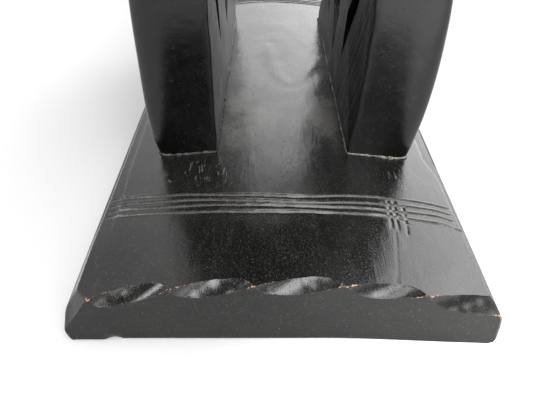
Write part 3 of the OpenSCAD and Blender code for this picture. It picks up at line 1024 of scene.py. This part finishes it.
def make_world():
    """White studio: bright behind and to the right, dimmer overhead, in front and to the left."""
    world = bpy.data.worlds.new("studio")
    bpy.context.scene.world = world
    world.use_nodes = True
    tree = world.node_tree
    nodes, links = tree.nodes, tree.links
    background = nodes["Background"]
    place = nodes.new("ShaderNodeTexCoord")
    split = nodes.new("ShaderNodeSeparateXYZ")
    links.new(place.outputs["Generated"], split.inputs[0])

    def ramp(socket, low, high, to_low, to_high):
        node = nodes.new("ShaderNodeMapRange")
        node.interpolation_type = "SMOOTHSTEP"
        links.new(socket, node.inputs["Value"])
        for key, value in (("From Min", low), ("From Max", high),
                           ("To Min", to_low), ("To Max", to_high)):
            node.inputs[key].default_value = value
        return node.outputs[0]

    sideways = ramp(split.outputs["X"], -0.5, 0.5, WORLD_LEFT, WORLD_RIGHT)
    behind = ramp(split.outputs["Y"], -0.1, 0.6, WORLD_FRONT, WORLD_BEHIND)
    product = nodes.new("ShaderNodeMath")
    product.operation = "MULTIPLY"
    links.new(sideways, product.inputs[0])
    links.new(behind, product.inputs[1])
    links.new(product.outputs[0], background.inputs["Strength"])
    background.inputs["Color"].default_value = (1, 1, 1, 1)


def make_light(name, place, target, size, power):
    """Square light that faces target: places and side in metres, power in watts."""
    data = bpy.data.lights.new(name, "AREA")
    data.shape = "RECTANGLE"
    data.size = size
    data.size_y = size
    data.energy = power
    light = bpy.data.objects.new(name, data)
    light.location = place
    direction = np.subtract(target, place)
    yaw = math.atan2(direction[0], -direction[1])
    pitch = math.atan2(math.hypot(direction[0], direction[1]), -direction[2])
    light.rotation_euler = (pitch, 0, yaw + math.pi)
    bpy.context.scene.collection.objects.link(light)


# ---------- put together ----------

def finish_wood(obj, material, replaced, wear):
    """Gives a wooden piece its shading, its worn places, its material and its CAD node."""
    write_values(obj, "wear", wear)
    shade(obj)
    obj.data.materials.clear()
    obj.data.materials.append(material)
    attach(obj, "root")
    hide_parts(replaced)


# Reach in millimetres of the worn edges and of the brown haze where two gouge cuts meet
WEAR_REACH = (7.0, 3.2, 3.0)
HAZE_REACH = (2.6, 1.1, 1.1)
HAZE_SHARE = 0.75


def node_wear(obj, nodes, arris, edge_share):
    """Wear of an object's edges, much more where two gouge cuts meet on an arris."""
    points = read_points(obj)
    near, haze = np.zeros(len(points)), np.zeros(len(points))
    for end in (-1, 1):
        for x in nodes:
            place = arris(x, end)[0]
            away = points - place
            near = np.maximum(near, np.exp(-((away / WEAR_REACH) ** 2).sum(1)))
            haze = np.maximum(haze, np.exp(-((away / HAZE_REACH) ** 2).sum(1)))
    return np.maximum(edge_wear(obj, 10, 40) * (edge_share + near), HAZE_SHARE * haze)


# Softboxes, placed by what the gouge cuts at the front mirror: name, place, side and power
SOFTBOXES = (("front_high", (0.10, -0.75, 0.56), 0.42, 7.5),
             ("overhead", (0.12, -0.40, 0.80), 0.35, 2.8),
             ("front_low", (0.12, -0.95, 0.16), 0.25, 1.0),
             ("left", (-0.72, -0.15, 0.74), 0.32, 4.2),
             ("right", (0.42, -0.60, 0.50), 0.25, 0.9))
FRONT_ARRIS = (0, -0.165, 0.02)

make_camera()
make_floor()
make_world()
make_light("key", (0.9, 0.5, 1.2), (0, 0, 0.05), 1.2, 9)
for light_name, place, size, power in SOFTBOXES:
    make_light(light_name, place, FRONT_ARRIS, size, power)

base_board = make_base()
finish_wood(base_board, stained_wood("base_wood", gloss=0.15, dust=0.8), "base",
            node_wear(base_board, GOUGE_NODES, base_arris, 0.42))
# The uprights get darker copies of the same black wood (tone 0.3 and 0.35): painted shade for their shaded
# faces
left_board = make_upright("left_stave", left_faces, -1, 101, 12)
finish_wood(left_board, stained_wood("left_upright_wood", gloss=0.13, dust=0.25, shift=17.0, tone=0.3),
            "left_upright", edge_wear(left_board) * 0.2)
right_board = make_upright("right_stave", right_faces, 1, 201, 0)
finish_wood(right_board, stained_wood("right_upright_wood", gloss=0.14, dust=0.3, shift=29.0, tone=0.35),
            "right_upright", edge_wear(right_board) * 0.2)
saddle = make_neck_rest()
finish_wood(saddle, stained_wood("neck_rest_wood", gloss=0.20, shift=41.0), "neck_rest",
            node_wear(saddle, REST_GOUGE_NODES, rest_arris, 0.25))

glue = {-1: glue_material("left_glue", 0.35), 1: glue_material("right_glue", 0.7)}
BEADS = (("left_lower_bead", left_faces, -1, 1), ("right_lower_bead", right_faces, 1, 1),
         ("left_upper_bead", left_faces, -1, -1), ("right_upper_bead", right_faces, 1, -1))
for number, (node, faces_at, side, lift) in enumerate(BEADS):
    surface = (lambda x, y: camber_z(x)) if lift > 0 else (lambda x, y: underside_z(y))
    lump = (side * 52, 3 - FOOT_HALF_L)
    bead = make_bead(node.replace("bead", "glue_line"), faces_at, side, surface, lift,
                     301 + 10 * number, lump)
    shade(bead, 80)
    bead.data.materials.append(glue[side])
    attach(bead, "root")
    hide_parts(node)

bare_wood = peg_material()
for node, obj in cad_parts.items():
    if node.endswith("pegs"):
        obj.data.materials.clear()
        obj.data.materials.append(bare_wood)

scene = bpy.context.scene
scene.view_settings.view_transform = "Standard"
scene.view_settings.look = "None"
scene.view_settings.exposure = 0.0
scene.view_settings.gamma = 1.0
